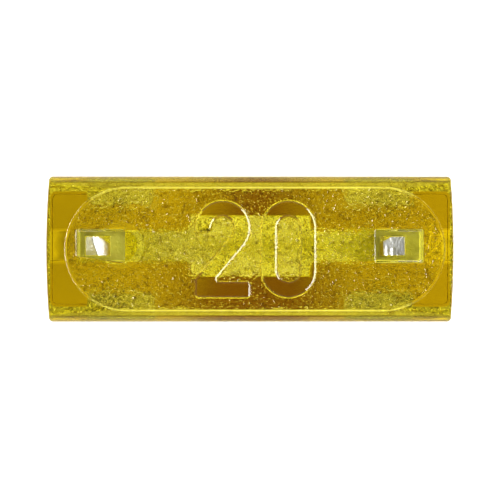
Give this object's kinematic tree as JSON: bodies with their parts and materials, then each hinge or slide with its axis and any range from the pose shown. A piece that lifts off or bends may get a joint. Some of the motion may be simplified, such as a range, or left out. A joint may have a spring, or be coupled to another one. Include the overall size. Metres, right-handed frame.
{
  "type": "automotive blade fuse",
  "caption": "Small plug-in blade fuse: a clear yellow moulded housing over a stamped metal element with flat blades and an S-shaped link.",
  "frame": {"origin": "centre of the housing's underside, midway between the blades where they come out", "axes": "+Z from the blades to the head, X along the width through both blades, Y along the thickness"},
  "size_m": [0.011, 0.0039, 0.0163],
  "materials": {
    "clear_yellow_plastic": "clear yellow moulded plastic, smooth outside and spark-textured in the sunk field",
    "plated_zinc": "bright plated zinc alloy, stamped"
  },
  "bodies": {
    "root": {"housing": "clear_yellow_plastic", "element": "plated_zinc"}
  },
  "joints": []
}
